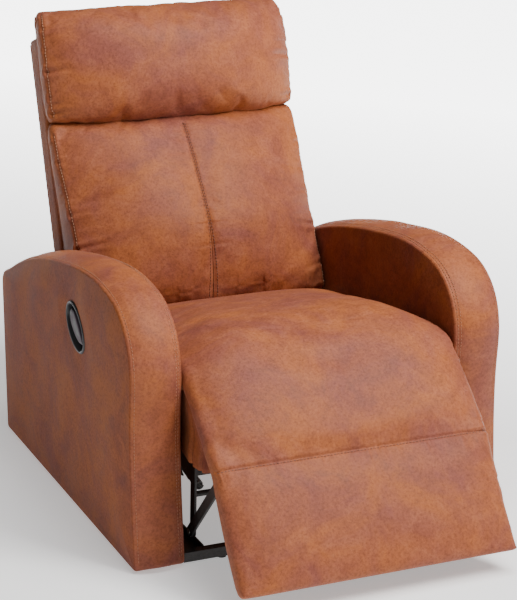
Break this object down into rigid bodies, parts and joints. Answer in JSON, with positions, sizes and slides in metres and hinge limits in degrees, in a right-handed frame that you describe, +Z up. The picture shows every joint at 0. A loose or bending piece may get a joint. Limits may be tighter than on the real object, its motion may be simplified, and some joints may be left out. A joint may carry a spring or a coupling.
{
  "type": "recliner armchair",
  "caption": "Push-back recliner armchair with curved padded arms, a head pillow, a swing-out leg rest on steel links and a recessed release handle.",
  "frame": {"origin": "on the floor, under the middle of the chair's bounding box as it stands at rest, half reclined with the leg rest part way out", "axes": "+Z up, -Y the way the sitter faces, +X the sitter's left, so the release handle is at -X"},
  "size_m": [0.804, 1.2523, 0.9738],
  "materials": {
    "leather": "Distressed cognac faux-suede leather with cloudy mottling, matt with a soft sheen",
    "leather_side": "The same leather on the arms and the outer of the back",
    "steel": "Black powder-coated steel",
    "spring_wire": "Bare oiled spring wire",
    "pin_steel": "Zinc-plated rivets and pins",
    "timber": "Plain pine and plywood, sawn",
    "plastic": "Black moulded plastic with a fine texture",
    "glide_plastic": "Black nylon glides",
    "cable_jacket": "Black cable jacket"
  },
  "bodies": {
    "base": {"arm_side_panel_left": "leather_side", "arm_side_panel_right": "leather_side", "arm_inner_panel_left": "leather_side", "arm_inner_panel_right": "leather_side", "arm_band_left": "leather_side", "arm_band_right": "leather_side", "arm_frame_left": "timber", "arm_frame_right": "timber", "arm_glides": "glide_plastic", "handle_bezel": "plastic", "handle_pin": "pin_steel", "release_cable": "cable_jacket", "base_rail_left": "steel", "base_rail_right": "steel", "front_base_tube": "steel", "rear_base_tube": "steel", "base_feet": "glide_plastic", "base_bolts": "pin_steel", "base_link_pins": "pin_steel"},
    "seat": {"seat_side_rail_left": "timber", "seat_side_rail_right": "timber", "seat_front_rail": "timber", "seat_rear_rail": "timber", "mechanism_plate_left": "steel", "mechanism_plate_right": "steel", "front_apron": "leather_side", "front_cross_rail": "steel", "rear_cross_rail": "steel", "seat_springs": "spring_wire", "seat_cushion": "leather", "back_hinge_pins": "pin_steel", "leg_pivot_pins": "pin_steel", "return_springs": "spring_wire"},
    "back": {"back_stile_left": "timber", "back_stile_right": "timber", "back_bottom_rail": "timber", "back_top_rail": "timber", "back_bracket_left": "steel", "back_bracket_right": "steel", "back_bracket_bolts": "pin_steel", "back_shell": "leather_side", "back_springs": "spring_wire", "back_cushion": "leather", "head_pillow": "leather"},
    "leg_rest": {"lower_leg_pad": "leather", "upper_leg_pad": "leather", "leg_rest_board": "timber", "leg_rest_bracket_left": "steel", "leg_rest_bracket_right": "steel"},
    "leg_swing_arms": {"leg_swing_arm_left": "steel", "leg_swing_arm_right": "steel", "leg_cross_tube": "steel"},
    "diagonal_links": {"diagonal_link_left": "steel", "diagonal_link_right": "steel"},
    "front_carriers": {"front_swing_link_left": "steel", "front_swing_link_right": "steel"},
    "rear_carriers": {"rear_swing_link_left": "steel", "rear_swing_link_right": "steel"},
    "handle": {"handle_paddle": "plastic"}
  },
  "joints": [
    {"name": "seat_glide", "type": "slide", "parent": "base", "child": "seat", "axis": [0, -1, 0], "range_m": [-0.0116, 0.0684]},
    {"name": "back_recline", "type": "hinge", "parent": "seat", "child": "back", "pos_m": [0, 0.335, 0.29], "axis": [-1, 0, 0], "range_deg": [-5, 30]},
    {"name": "footrest_swing", "type": "hinge", "parent": "seat", "child": "leg_rest", "pos_m": [0, -0.46, 0.47], "axis": [-1, 0, 0], "range_deg": [-32, 40], "deforming": ["upper_leg_pad"]},
    {"name": "swing_arm_pivot", "type": "hinge", "parent": "seat", "child": "leg_swing_arms", "pos_m": [0, -0.3, 0.308], "axis": [-1, 0, 0], "range_deg": [-32.2, 40.2], "deforming": ["return_springs"]},
    {"name": "diagonal_pivot", "type": "hinge", "parent": "leg_swing_arms", "child": "diagonal_links", "pos_m": [0, -0.2836, 0.0421], "axis": [-1, 0, 0], "range_deg": [-40.2, 32.2]},
    {"name": "front_carrier_pivot", "type": "hinge", "parent": "base", "child": "front_carriers", "pos_m": [0, -0.07, 0.04], "axis": [-1, 0, 0], "range_deg": [-31.6, 5.6]},
    {"name": "rear_carrier_pivot", "type": "hinge", "parent": "base", "child": "rear_carriers", "pos_m": [0, 0.16, 0.04], "axis": [-1, 0, 0], "range_deg": [-31.6, 5.6]},
    {"name": "release_lever", "type": "hinge", "parent": "base", "child": "handle", "pos_m": [-0.39, 0.0075, 0.43018], "axis": [0, 0.5446, -0.8387], "range_deg": [0, 30], "stiffness_Nm_per_rad": 0.25, "springref_deg": -6.88}
  ],
  "couplings": [
    {"joint": "seat_glide", "follows": "back_recline", "m_per_rad": 0.13},
    {"joint": "front_carrier_pivot", "follows": "back_recline", "ratio": -1.04},
    {"joint": "rear_carrier_pivot", "follows": "back_recline", "ratio": -1.04},
    {"joint": "swing_arm_pivot", "follows": "footrest_swing", "ratio": 1},
    {"joint": "diagonal_pivot", "follows": "footrest_swing", "ratio": -1}
  ]
}
